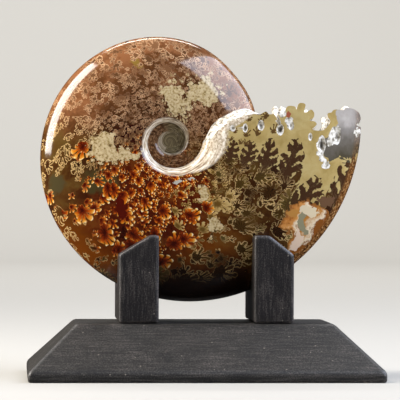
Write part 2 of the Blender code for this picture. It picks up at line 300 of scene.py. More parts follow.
@dataclass
class Sheet:
    """A laid-out sheet of shell, whose points hold what the coiling tree needs."""

    angle: list[float] = field(default_factory=list)
    share: list[float] = field(default_factory=list)
    rise: list[float] = field(default_factory=list)
    side: list[float] = field(default_factory=list)
    sink: list[float] = field(default_factory=list)
    lay: list[float] = field(default_factory=list)
    faces: list[tuple[int, ...]] = field(default_factory=list)

    def point(self, angle: float, section: Spot, side: Side, sink: float = 0.0) -> int:
        """Adds a point.

        Args:
            angle: Coil angle in radians.
            section: Share of the outer radius, share of the half thickness, and how far along the
                section it lies as a share of the local radius.
            side: The flank it lies on.
            sink: Depth under the polished flank in metres.

        Returns:
            The point's index.
        """
        for values, value in zip((self.angle, self.share, self.rise, self.side, self.sink, self.lay),
                                 (angle, section[0], section[1], side.value, sink, section[2])):
            values.append(value)
        return len(self.angle) - 1

    def strip(self, first: list[int], second: list[int]) -> None:
        """Adds the faces between two rows of points."""
        self.faces += [(a, b, c, d) for a, b, c, d in zip(first, first[1:], second[1:], second)]

    def mesh(self, name: str) -> bpy.types.Mesh:
        """Makes the mesh, with each list as an attribute of its points.

        Args:
            name: The mesh's name.

        Returns:
            The mesh, not yet coiled.
        """
        mesh = bpy.data.meshes.new(name)
        flat = [(a, s, 0.0) for a, s in zip(self.angle, self.share)]
        mesh.from_pydata(flat, [], self.faces)
        for key in ("angle", "share", "rise", "side", "sink", "lay"):
            attribute = mesh.attributes.new("coil_" + key, "FLOAT", "POINT")
            attribute.data.foreach_set("value", getattr(self, key))
        return mesh


@dataclass(frozen=True)
class Patch:
    """A soft-edged area of one colour in the stone: centre and half sizes in millimetres."""

    centre: Point
    reach: Point
    soft: float = 0.35


@dataclass(frozen=True)
class Rosettes:
    """A layer of fingered rosettes, where folded chamber walls were ground through.

    Pitch is a share of the coil's local radius, so the rosettes grow with the shell. Lower and
    upper are the shares of them that show in the brown and in the violet part of the stone.
    """

    pitch: float
    fingers: int
    seed: float
    lower: float
    upper: float
    line: float = 0.8


@dataclass(frozen=True)
class AgatisedShell:
    """Polished agatised shell: calcite-filled chambers under a glassy hand-polished face."""

    name: str = "agatised_shell_polished"
    # Half the width of a leaf's sharp border, as a share of the coil's local radius.
    crisp: float = 0.0015
    layers: tuple[Rosettes, ...] = (
        Rosettes(0.085, 6, 3.1, 0.5, 1.0, 0.8), Rosettes(0.13, 8, 8.7, 0.7, 0.9, 0.8),
        Rosettes(0.20, 9, 5.3, 0.85, 0.45, 0.9), Rosettes(0.28, 11, 1.9, 0.75, 0.12, 0.9))
    # Where rosettes glow amber, where they thin out to a net of lines, and a honey-brown ground.
    amber: Patch = Patch((-24.0, 75.0), (27.0, 25.0))
    embers: tuple[Patch, ...] = (
        Patch((-52.0, 97.0), (6.0, 3.5)), Patch((-49.5, 84.5), (5.0, 4.5)),
        Patch((-66.0, 77.5), (3.5, 4.5)), Patch((-54.5, 74.0), (7.0, 7.0)))
    quiet: Patch = Patch((-62.0, 84.0), (16.0, 40.0), 0.4)
    honey: Patch = Patch((-28.0, 56.0), (38.0, 16.0), 0.6)
    # Areas of plain colour under the rosettes: two green, one dark red and one golden.
    areas: tuple[tuple[Patch, str], ...] = (
        (Patch((-46.0, 85.0), (7.0, 5.5)), "40361c"), (Patch((-64.0, 83.5), (4.0, 3.4)), "453c24"),
        (Patch((-33.0, 105.0), (7.5, 3.8)), "2e0a05"), (Patch((-30.5, 135.0), (3.0, 1.6)), "80642c"))
    # Areas over them: one clear dark red, and two pale glints painted on as highlights.
    clear: tuple[tuple[Patch, str], ...] = (
        (Patch((-35.5, 74.0), (3.6, 7.0), 0.75), "4a0f05"),
        (Patch((-11.8, 84.6), (1.2, 0.8)), "a19c90"), (Patch((-6.2, 85.6), (0.9, 0.7)), "a19c90"))
    cream: tuple[Patch, ...] = (
        Patch((-44.0, 100.0), (7.5, 6.5), 0.6), Patch((-34.0, 97.0), (8.0, 3.5), 0.6),
        Patch((-12.0, 121.0), (5.5, 10.0), 0.6), Patch((0.0, 124.5), (8.0, 6.5), 0.6),
        Patch((-1.0, 80.0), (2.6, 3.4), 0.6), Patch((5.0, 66.5), (3.0, 5.0), 0.6))
    # The violet upper part, and the old pearly shell low on the last chamber.
    upper: Patch = Patch((-18.0, 134.0), (62.0, 33.0), 0.25)
    pearl: Patch = Patch((46.0, 65.5), (10.5, 9.5), 0.45)
    pearl_spots: tuple[tuple[Patch, str], ...] = (
        (Patch((39.4, 71.5), (3.2, 2.4)), "b07c3c"), (Patch((43.4, 66.6), (2.8, 4.2)), "8a8468"),
        (Patch((45.8, 71.8), (4.4, 2.2)), "d3c2a2"), (Patch((40.4, 61.6), (2.0, 3.8)), "d9bfa6"),
        (Patch((54.5, 77.0), (3.4, 2.4)), "664a34"))
    # Open stone by the broken edge: a rusty spot, crystal, and the grey tip.
    rust: Patch = Patch((35.3, 114.8), (1.6, 2.4), 0.5)
    quartz: tuple[Patch, ...] = (
        Patch((37.1, 110.8), (2.0, 3.6), 0.4), Patch((32.4, 114.2), (1.6, 2.6), 0.4),
        Patch((56.3, 105.5), (2.6, 6.0), 0.5), Patch((51.2, 97.0), (2.2, 6.0), 0.5),
        Patch((66.2, 107.6), (1.4, 2.8), 0.4))
    grey: tuple[Patch, ...] = (
        Patch((65.0, 108.5), (8.8, 12.0), 0.2), Patch((58.0, 100.5), (7.5, 6.5), 0.5))
    # Brown leaves by the seam, straw-coloured ones, and painted shade on the fossil's foot between the
    # uprights.
    seam_leaves: Patch = Patch((20.0, 108.0), (13.0, 6.0), 0.5)
    cream_leaves: Patch = Patch((1.0, 75.0), (13.0, 16.0), 0.5)
    painted_shade_foot: Patch = Patch((-4.0, 30.0), (60.0, 20.0), 0.5)
    # The ferns of the last folded wall, as coil angles and laid places: where their tips are, how
    # far the outer ones stand back, their spacing, where one stands and the spacing of branches.
    fern_tips: float = TURN + 0.045
    fern_back: float = 0.27
    fern_spacing: float = 0.23
    fern_stand: float = 1.375
    branch_spacing: float = 0.095
    lobe_pitches: Point = (0.034, 0.017)

    def rosette_group(self) -> bpy.types.NodeTree:
        """Builds the group that draws one layer of rosettes.

        Returns:
            A group with the signed distance to the nearest rosette's edge, a chance value for the
            rosette, how far along its finger a point lies, and 0 on a finger's middle line to 1
            between two fingers.
        """
        tree = new_group("rosettes", "Shader",
                         {"Place": "Vector", "Pitch": "Float", "Fingers": "Float", "Seed": "Float"},
                         {"Edge": "Float", "Chance": "Float", "Out": "Float", "Rib": "Float"})
        put = partial(add, tree)
        given = put("NodeGroupInput").outputs
        scale = put(MATH, "DIVIDE", 1.0, given["Pitch"])
        seed = put(JOIN, given["Seed"], given["Seed"])
        place = put(VECTOR, "ADD", given["Place"], seed)
        cells = put(CELLS, place, Scale=scale, Randomness=0.85, voronoi_dimensions="2D")
        chance = put("ShaderNodeSeparateColor", cells.outputs["Color"]).outputs
        local = put(VECTOR, "SCALE", put(VECTOR, "SUBTRACT", place, cells.outputs["Position"]),
                    Scale=scale)
        local = put(VECTOR, "ADD", local, (0.1, 0.0, 0.0))
        axes = put(SPLIT, local).outputs
        reach = put(VECTOR, "LENGTH", local)
        turn = put(MATH, "ARCTAN2", axes["Y"], axes["X"])
        # Folds open towards the aperture, give or take a radian.
        turn = put(MATH, "ADD", turn, put(RANGE, chance["Red"], 0.0, 1.0, -0.9, 0.9))
        sector = put(MATH, "DIVIDE", TURN, given["Fingers"])
        spun = put(MATH, "DIVIDE", put(MATH, "ADD", turn, TURN), sector)
        which = put(MATH, "FLOOR", spun)
        bend = put(MATH, "SUBTRACT", put(MATH, "SUBTRACT", spun, which), 0.5)
        bend = put(MATH, "MULTIPLY", bend, sector)
        forward = put(MATH, "MULTIPLY", reach, put(MATH, "COSINE", bend))
        aside = put(MATH, "ABSOLUTE", put(MATH, "MULTIPLY", reach, put(MATH, "SINE", bend)))
        name = put(JOIN, which, chance["Green"])
        luck = put("ShaderNodeTexWhiteNoise", name, noise_dimensions="2D").outputs["Value"]
        # Fingers on one side are the longer ones, so a rosette looks like a fan.
        lean = put(MATH, "MULTIPLY_ADD", which, sector, put(MATH, "MULTIPLY", sector, 0.5))
        lean = put(MATH, "COSINE", lean)
        length = put(MATH, "MULTIPLY_ADD", luck, 0.1, put(RANGE, lean, -0.5, 0.9, 0.12, 0.36))
        held = put(MATH, "MINIMUM", put(MATH, "MAXIMUM", forward, 0.0), length)
        past = put(MATH, "SUBTRACT", forward, held)
        gap = put(VECTOR, "LENGTH", put(JOIN, past, aside))
        wide = put(MATH, "MULTIPLY_ADD", held, put(MATH, "DIVIDE", 0.75, given["Fingers"]), 0.03)
        finger = put(MATH, "SUBTRACT", gap, wide)
        # Each finger ends in two small side lobes.
        lobe = put(JOIN, put(MATH, "SUBTRACT", forward, length), put(MATH, "SUBTRACT", aside, 0.045))
        lobe = put(MATH, "SUBTRACT", put(VECTOR, "LENGTH", lobe), 0.032)
        finger = put(MATH, "SMOOTH_MIN", finger, lobe, 0.025)
        core = put(MATH, "SUBTRACT", reach, 0.16)
        edge = put(MATH, "SMOOTH_MIN", finger, core, 0.08)
        edge = put(MATH, "MULTIPLY", edge, given["Pitch"])
        out = put(MATH, "DIVIDE", forward, put(MATH, "ADD", length, 0.03))
        # The short fingers stay dark, as the back of a fan.
        back = put(RANGE, put(MATH, "COSINE", turn), -0.7, 0.5, 0.4, 1.0)
        out = put(MATH, "MULTIPLY", out, back)
        rib = put(MATH, "MULTIPLY", bend, put(MATH, "MULTIPLY", given["Fingers"], 2 / TURN))
        rib = put(MATH, "ABSOLUTE", rib)
        put("NodeGroupOutput", edge, chance["Blue"], out, rib)
        return tree

    def patch_group(self) -> bpy.types.NodeTree:
        """Builds the group that draws one patch.

        Returns:
            A group that gives 1 within the patch, 0 outside and a soft edge between.
        """
        tree = new_group("patch", "Shader",
                         {"Place": "Vector", "Centre": "Vector", "Reach": "Vector", "Soft": "Float"},
                         {"Share": "Float"})
        put = partial(add, tree)
        given = put("NodeGroupInput").outputs
        off = put(VECTOR, "SUBTRACT", given["Place"], given["Centre"])
        far = put(VECTOR, "LENGTH", put(VECTOR, "DIVIDE", off, given["Reach"]))
        inner = put(MATH, "SUBTRACT", 1.0, given["Soft"])
        outer = put(MATH, "ADD", 1.0, given["Soft"])
        share = put(RANGE, far, inner, outer, 1.0, 0.0, interpolation_type="SMOOTHSTEP")
        put("NodeGroupOutput", share)
        return tree

    def past_ferns(self, put: Callable[..., bpy.types.Node],
                   place: bpy.types.Node) -> tuple[bpy.types.Node, bpy.types.Node]:
        """Tells the last chamber from the dark ferns of the last folded wall.

        Args:
            put: Adds a node to the material's tree.
            place: Coil angle and laid place.

        Returns:
            A mask of the last chamber and one of the ferns' plain dark part.
        """
        axes = put(SPLIT, place).outputs
        row = put(MATH, "DIVIDE", put(MATH, "SUBTRACT", axes["Y"], self.fern_stand), self.fern_spacing)
        aside = put(MATH, "MULTIPLY", put(MATH, "PINGPONG", row, 0.5), self.fern_spacing)
        which = put(MATH, "ROUND", row)
        luck = put("ShaderNodeTexWhiteNoise", W=which, noise_dimensions="1D").outputs["Value"]
        tips = put(MATH, "MULTIPLY_ADD", luck, 0.05, self.fern_tips - 0.03)
        back = put(MATH, "SUBTRACT", put(RANGE, which, 1.1, 1.9, 0.0, self.fern_back),
                   put(RANGE, which, 2.1, 2.9, 0.0, 0.6 * self.fern_back))
        down = put(MATH, "SUBTRACT", put(MATH, "SUBTRACT", tips, back), axes["X"])
        stem = put(MATH, "MULTIPLY_ADD", down, 0.1, 0.012)
        stem = put(MATH, "SUBTRACT", aside, stem)
        crown = put(RANGE, down, -0.02, 0.13, 0.02, 0.45 * self.fern_spacing)
        crown = put(MATH, "ADD", crown, put(RANGE, down, 0.2, 0.35, 0.0, 0.15 * self.fern_spacing))
        crown = put(MATH, "SUBTRACT", aside, crown)
        branch = put(MATH, "MULTIPLY", put(MATH, "ADD", down, put(MATH, "MULTIPLY", aside, 0.9)),
                     TURN / self.branch_spacing)
        branch = put(MATH, "COSINE", branch)
        gap = put(RANGE, down, 0.1, 0.38, -0.15, -1.3)
        branch = put(MATH, "MULTIPLY", put(MATH, "SUBTRACT", gap, branch), self.branch_spacing / 9.0)
        branch = put(MATH, "MAXIMUM", branch, crown)
        fern = put(MATH, "MINIMUM", stem, branch)
        fern = put(MATH, "MAXIMUM", fern, put(MATH, "MULTIPLY", down, -1.0))
        # Small round lobes swell the outline, with sharp nicks between them.
        for pitch in self.lobe_pitches:
            swell = put(CELLS, place, Scale=1 / pitch, voronoi_dimensions="2D")
            swell = put(MATH, "SUBTRACT", swell, 0.48)
            fern = put(MATH, "MULTIPLY_ADD", swell, 0.5 * pitch, fern)
        shade = put(RANGE, put(MATH, "ADD", down, aside), 0.3, 0.42, 0.93, 0.0)
        return put(RANGE, fern, -self.crisp, self.crisp), shade

    def material(self) -> bpy.types.Material:
        """Makes the material.

        Returns:
            Glassy polish over brown, violet and amber calcite, drawn over with cream suture lines.
        """
        # The polish gives sharp mirror lights, and only broken crystal and pits scatter them.
        material, shader = new_material(self.name)
        put = partial(add, material.node_tree)
        angle, lay, share, broken, sink = (
            put(ATTRIBUTE, attribute_name=name).outputs["Fac"]
            for name in ("coil_angle", "coil_lay", "coil_share", "broken", "coil_sink"))
        solid = put("ShaderNodeTexCoord").outputs["Object"]

        # Wander of the pattern: slow bends, then small ones, as shares of the local radius.
        place = put(JOIN, angle, lay)
        for scale, size in ((5.0, 0.08), (25.0, 0.025)):
            drift = put(NOISE, place, Scale=scale, Detail=1.0, noise_dimensions="2D").outputs["Color"]
            drift = put(VECTOR, "SUBTRACT", drift, (0.5, 0.5, 0.5))
            fine = put(VECTOR, "MULTIPLY_ADD", drift, (size * 0.7, size * 0.7, 0.0), place)
            place = put(VECTOR, "MULTIPLY_ADD", drift, (size, size, 0.0), place)
        # Wander of the stone's areas, 9 mm and 3 mm across.
        drift = put(NOISE, solid, Scale=1 / (9 * MM), Detail=3.0, Roughness=0.6).outputs["Color"]
        drift = put(VECTOR, "SUBTRACT", drift, (0.5, 0.5, 0.5))
        area = put(VECTOR, "MULTIPLY_ADD", drift, (14 * MM, 14 * MM, 14 * MM), solid)

        rosettes = self.rosette_group()
        patches = self.patch_group()
        drawn = [put("ShaderNodeGroup", place, layer.pitch, layer.fingers, layer.seed,
                     node_tree=rosettes).outputs for layer in self.layers]
        # Fine rosettes fray the borders of the stone's areas.
        fray = put(RANGE, drawn[1]["Edge"], -0.012, 0.012, 0.35, -0.25)

        def patched(patch: Patch, frayed: bool = False) -> bpy.types.Node:
            """Draws a patch in the stone.

            Args:
                patch: The patch.
                frayed: Whether its border is crisp and frayed.

            Returns:
                The patch's share of the colour.
            """
            soft = put("ShaderNodeGroup", area, (patch.centre[0] * MM, 0.0, patch.centre[1] * MM),
                       (patch.reach[0] * MM, 1.0, patch.reach[1] * MM), patch.soft, node_tree=patches)
            if not frayed:
                return soft
            return put(RANGE, put(MATH, "ADD", soft, fray), 0.5, 0.56)

        # The ground: brown below, violet above, with honey, amber and small plain areas.
        amber = patched(self.amber)
        leaves = patched(self.cream_leaves)
        upper = patched(self.upper)
        cloud = put(NOISE, area, Scale=1 / (11 * MM), Detail=4.0, Roughness=0.6)
        colour = put(RAMP, cloud, stops={0.3: "2a1407", 0.45: "3a1f0a", 0.55: "4c2f12", 0.7: "56401c"})
        # The violet is painted lighter towards the outer rim: a painted glow beside the rim's highlight.
        cloud_and_rim_glow = put(MATH, "ADD", cloud, put(RANGE, share, 0.4, 0.9, -0.14, 0.16))
        violet = put(RAMP, cloud_and_rim_glow, stops={0.3: "3c2211", 0.5: "5a361d", 0.7: "825434"})
        colour = put(MIX, "RGBA", upper, colour, violet)
        colour = put(MIX, "RGBA", patched(self.honey), colour, linear("6f3809"))
        warm = put(RAMP, cloud, stops={0.3: "2a0903", 0.5: "4a1706", 0.62: "632f0e", 0.72: "4a3a16"})
        colour = put(MIX, "RGBA", amber, colour, warm)
        for patch, code in self.areas:
            colour = put(MIX, "RGBA", patched(patch), colour, linear(code))
        # How far the cream lines fade, and their colour.
        faint = put(NOISE, place, Scale=5.0, Detail=2.0, noise_dimensions="2D")
        faint = put(RANGE, faint, 0.36, 0.62, 0.12, 1.0)
        faint = put(MATH, "MULTIPLY", faint, put(RANGE, amber, 0.0, 1.0, 1.0, 0.45))
        quiet = patched(self.quiet)
        faint = put(MATH, "MAXIMUM", faint, quiet)
        lit = amber
        for patch in self.embers:
            lit = put(MATH, "MAXIMUM", lit, patched(patch))
        thread = put(MIX, "RGBA", upper, linear("cbaa72"), linear("cda47c"))
        thread = put(MIX, "RGBA", lit, thread, linear("c28334"))
        faint = put(MATH, "MULTIPLY", faint, put(RANGE, lit, 0.0, 1.0, 1.0, 0.65))

        # Each layer of rosettes lays its leaves, darker between their fingers, then its cream lines.
        furrow = put(RANGE, upper, 0.0, 1.0, 0.45, 0.85)
        for layer, star in zip(self.layers, drawn):
            wanted = put(MIX, "FLOAT", upper, layer.lower, layer.upper)
            wanted = put(MATH, "MULTIPLY", wanted, put(RANGE, quiet, 0.0, 1.0, 1.0, 0.82))
            here = put(MATH, "LESS_THAN", star["Chance"], wanted)
            within = put(RANGE, star["Edge"], self.crisp, -self.crisp, 0.0, here)
            chance = put(MATH, "FRACT", put(MATH, "MULTIPLY", star["Chance"], 7.31))
            plain = put(RAMP, chance, stops={0.0: "32190a", 0.3: "40260f", 0.6: "4a3013",
                                             0.85: "563f1a", 1.0: "66532a"})
            dusk = put(RAMP, chance, stops={0.0: "583922", 0.5: "69462b", 1.0: "80593b"})
            plain = put(VECTOR, "SCALE", plain, Scale=put(RANGE, star["Out"], 0.2, 1.0, 0.7, 1.2))
            plain = put(MIX, "RGBA", upper, plain, dusk)
            petal = put(RAMP, star["Out"], stops={0.1: "420f05", 0.4: "762607", 0.62: "ac480b",
                                                  0.82: "cc7614", 0.95: "e0a848", 1.0: "efdcae"})
            glow = put(MATH, "LESS_THAN", star["Chance"], 0.35)
            glow = put(RANGE, put(MATH, "MULTIPLY_ADD", glow, 0.2, lit), 0.4, 0.6)
            fill = put(MIX, "RGBA", glow, plain, petal)
            fill = put(VECTOR, "SCALE", fill, Scale=put(RANGE, star["Rib"], 0.35, 1.0, 1.0, furrow))
            pale = put(MATH, "LESS_THAN", chance, put(MATH, "MULTIPLY", leaves, 0.6))
            straw = put(RAMP, star["Out"], stops={0.2: "5e431c", 0.55: "9a7c44", 1.0: "b89d66"})
            fill = put(MIX, "RGBA", pale, fill, straw)
            bare = put(MATH, "MULTIPLY", quiet, put(MATH, "SUBTRACT", 0.85, glow), use_clamp=True)
            fill = put(MIX, "RGBA", bare, fill, colour)
            colour = put(MIX, "RGBA", within, colour, fill)
            line = put(RANGE, put(MATH, "ABSOLUTE", star["Edge"]), 0.0012, 0.004, here, 0.0)
            line = put(MATH, "MULTIPLY", put(MATH, "MULTIPLY", line, faint), layer.line)
            tips = put(RANGE, star["Out"], 0.35, 0.75, 0.3, 1.0)
            line = put(MATH, "MULTIPLY", line, put(MIX, "FLOAT", glow, 1.0, tips))
            colour = put(MIX, "RGBA", line, colour, thread)

        # Grains of 1 mm, coarser than the real ones, so that they show.
        speck = put(NOISE, solid, Scale=1 / MM, Detail=3.0)
        creamy = put(RAMP, speck, stops={0.33: "6a5232", 0.4: "a48d5e", 0.5: "b59f77", 0.62: "c6b28a"})
        # Coats over the rosettes, as masks and what they lay on, from the lowest up.
        coats = [(patched(patch, True), linear(code)) for patch, code in self.clear]
        coats += [(patched(patch, True), creamy) for patch in self.cream]

        # The pale last chamber beyond the ferns, with brown leaves by its seam and a grey tip.
        last, fern = self.past_ferns(put, fine)
        pale = put(RAMP, cloud, stops={0.35: "9e864e", 0.5: "b09860", 0.65: "b9a46e"})
        leaf = put(MATH, "MULTIPLY", patched(self.seam_leaves), 0.8)
        leaf = put(MATH, "LESS_THAN", drawn[1]["Chance"], leaf)
        leaf = put(RANGE, drawn[1]["Edge"], self.crisp, -self.crisp, 0.0, leaf)
        coats += [(fern, linear("412a1a")), (last, pale), (leaf, linear("5a4022"))]
        # The grey tip is painted lighter at the top and darker below: painted shade down its groove,
        # over its own cloud.
        height = put(SPLIT, area).outputs["Z"]
        smoke_and_shade = put(MATH, "ADD", put(NOISE, area, Scale=1 / (20 * MM), Detail=3.0),
                    put(RANGE, height, 94 * MM, 117 * MM, -0.3, 0.2))
        smoke_and_shade = put(RAMP, smoke_and_shade, stops={0.2: "4a4334", 0.4: "6a635a", 0.55: "857e77", 0.75: "b3aba3"})
        coats += [(patched(patch, True), smoke_and_shade) for patch in self.grey]

        # Old shell layers in bands along the rim.
        fold = put(NOISE, solid, Scale=1 / (9 * MM), Detail=5.0, Roughness=0.7)
        bands = put(MATH, "MULTIPLY_ADD", fold, 0.5, put(RANGE, lay, 1.6, 2.1, -0.2, 0.7))
        pearly = put(RAMP, bands, stops={0.1: "bb9666", 0.3: "c9b08a", 0.42: "ad6a2c", 0.5: "c98d4c",
                                         0.56: "e2d2b4", 0.6: "9a5a22", 0.7: "b07838", 0.78: "dccaac",
                                         0.82: "7f4a1e"})
        pearl = put(MATH, "MULTIPLY_ADD", fold, 1.2, patched(self.pearl))
        pearl = put(MATH, "SUBTRACT", pearl, 0.6)
        coats += [(put(RANGE, pearl, 0.25, 0.33), linear("8f5a2a")),
                  (put(RANGE, pearl, 0.4, 0.5), pearly)]
        coats += [(patched(patch, True), linear(code)) for patch, code in self.pearl_spots]
        # The last chamber's outer rim keeps a strip of brown shell.
        rim = put(MATH, "MULTIPLY", put(RANGE, share, 0.955, 0.97), put(RANGE, angle, 5.0, 5.4))
        rim = put(MATH, "MULTIPLY", rim, put(RANGE, angle, 6.12, 6.25, 1.0, 0.25))
        rind = put(RAMP, speck, stops={0.33: "38200f", 0.48: "6d431f", 0.6: "94683a", 0.7: "c4a878"})
        # The fossil's foot is painted near-black: painted shade, with the dark stand's reflection
        # painted in.
        coats += [(rim, rind), (patched(self.painted_shade_foot), linear("120804"))]

        # The wall of the umbilicus is pearly, in streaks that follow the coil; its near-white streaks
        # are partly painted highlight on the shoulder.
        streaks = put(JOIN, put(MATH, "MULTIPLY", angle, 1.3), put(MATH, "MULTIPLY", lay, 11.0))
        streaks = put(NOISE, streaks, Scale=2.0, Detail=2.0, noise_dimensions="2D")
        grains = put(MIX, "FLOAT", put(RANGE, angle, 5.6, 6.3, 0.15, 0.8), streaks, speck)
        nacre_and_highlight = put(RAMP, grains, stops={0.33: "86705a", 0.44: "bda98f", 0.54: "e0d1ba",
                                         0.66: "fdf4e6"})
        band = put(MATH, "ADD", put(RANGE, angle, 5.2, 6.15, 0.205, 0.28),
                   put(RANGE, angle, 6.48, 6.63, 0.0, 0.14))
        band = put(MATH, "SUBTRACT", band, put(RANGE, angle, 0.6, -0.4, 0.0, 0.018))
        low = put(RANGE, put(MATH, "SUBTRACT", share, band), 0.02, 0.0)
        disc = put(RAMP, streaks, stops={0.35: "4c4030", 0.5: "685b42", 0.65: "8f8263"})
        # The inner whorls deep in the umbilicus are painted dark: painted shade, with the stone's specks
        # through it.
        deep = put(MIX, "FLOAT", 0.55, streaks, speck)
        deep = put(RAMP, deep, stops={0.36: "24140c", 0.5: "543925", 0.62: "92704f"})
        inner = put(MATH, "MULTIPLY", put(RANGE, angle, -0.3, -0.9), 0.85)
        nacre_and_highlight = put(MIX, "RGBA", put(RANGE, angle, 4.4, 0.2, 0.0, 0.6), nacre_and_highlight, disc)
        coats += [(inner, deep), (low, nacre_and_highlight), (put(RANGE, angle, -4.2, -4.8), disc)]

        # Pits and the break show white and grey crystal, with painted shade that darkens the pits with
        # depth.
        crystal = put(RAMP, put(NOISE, solid, Scale=1 / (1.6 * MM), Detail=3.0),
                      stops={0.32: "6e675a", 0.43: "a9a08f", 0.52: "dcd5c8", 0.62: "f6f1e8"})
        rust = put(MATH, "MULTIPLY", patched(self.rust, True), 0.9)
        open_stone = put(MATH, "MAXIMUM", broken, put(RANGE, sink, 0.01 * MM, 0.08 * MM))
        for patch in self.quartz:
            open_stone = put(MATH, "MAXIMUM", open_stone, patched(patch, True))
        shadow = put(RANGE, sink, 0.8 * MM, 2 * MM, 0.0, 0.9)
        coats += [(rust, linear("9c4a38")), (open_stone, crystal), (shadow, linear("33291f"))]

        for mask, paint in coats:
            colour = put(MIX, "RGBA", mask, colour, paint)
        feed(material.node_tree, shader.inputs["Base Color"], colour)
        feed(material.node_tree, shader.inputs["Roughness"], put(RANGE, open_stone, 0.0, 1.0, 0.1, 0.4))
        return material


@dataclass(frozen=True)
class BlackStainedWood:
    """Sawn hardwood stained black and rubbed down; grain shows grey, edges grey with wear and painted
    highlight.

    Grain is the size in millimetres of its streaks along each axis, edge the width of the grey edge band
    of wear and painted highlight.
    """

    grain: Spot
    name: str = "black_stained_wood"
    stain: tuple[str, str, str] = ("0c0a0a", "1b1918", "332f2c")
    edge: float = 2.0

    def material(self) -> bpy.types.Material:
        """Makes the material.

        Returns:
            Dull black stain over a fine grain, with dust on it.
        """
        # The stain is dull and lets the grain through; the grey along the edges is partly rubbed wear
        # and partly painted highlight.
        # The grain has its real width, and its pores are drawn coarser, half a millimetre, so that they
        # show.
        material, shader = new_material(self.name)
        put = partial(add, material.node_tree)
        solid = put("ShaderNodeTexCoord").outputs["Object"]
        streak = put(VECTOR, "MULTIPLY", solid, tuple(1 / (MM * size) for size in self.grain))
        streak = put(NOISE, streak, Scale=1.0, Detail=4.0, Roughness=0.65)
        grit = put(NOISE, solid, Scale=1 / (0.5 * MM), Detail=2.0, Roughness=0.7)
        mottle = put(NOISE, solid, Scale=1 / (12 * MM), Detail=3.0)
        tone = put(MATH, "ADD", put(RANGE, streak, 0.3, 0.7, 0.36, 0.64),
                   put(RANGE, grit, 0.3, 0.7, -0.22, 0.22))
        tone = put(MATH, "ADD", tone, put(RANGE, mottle, 0.3, 0.7, -0.05, 0.05))
        low, middle, high = self.stain
        colour = put(RAMP, tone, stops={0.32: low, 0.5: middle, 0.66: high, 0.78: "5c5651"})
        # Dust and pale scratches.
        dust = put(CELLS, solid, Scale=1 / (2.2 * MM), feature="F1")
        fleck = put("ShaderNodeSeparateColor", dust.outputs["Color"]).outputs["Red"]
        fleck = put(MATH, "LESS_THAN", fleck, 0.16)
        fleck = put(MATH, "MULTIPLY", fleck, put(RANGE, dust.outputs["Distance"], 0.1, 0.16, 0.75, 0.0))
        colour = put(MIX, "RGBA", fleck, colour, linear("8f877c"))
        # Where the rounded edge turns away from the flat it is painted grey: partly worn stain, partly
        # painted highlight.
        soft = put("ShaderNodeBevel", self.edge * MM, samples=8)
        flat = put("ShaderNodeNewGeometry").outputs["Normal"]
        wear_and_highlight = put(VECTOR, "DOT_PRODUCT", soft, flat).outputs["Value"]
        wear_and_highlight = put(RANGE, wear_and_highlight, 0.99, 0.8, 0.0, 0.8)
        wear_and_highlight = put(MATH, "MULTIPLY", wear_and_highlight, put(RANGE, tone, 0.3, 0.62, 0.25, 1.0))
        colour = put(MIX, "RGBA", wear_and_highlight, colour, linear("969190"))
        bump = put("ShaderNodeBump", Strength=0.5, Distance=0.1 * MM, Height=tone, Normal=soft)
        for name, value in (("Base Color", colour), ("Normal", bump),
                            ("Roughness", put(RANGE, tone, 0.3, 0.7, 0.5, 0.32))):
            feed(material.node_tree, shader.inputs[name], value)
        return material


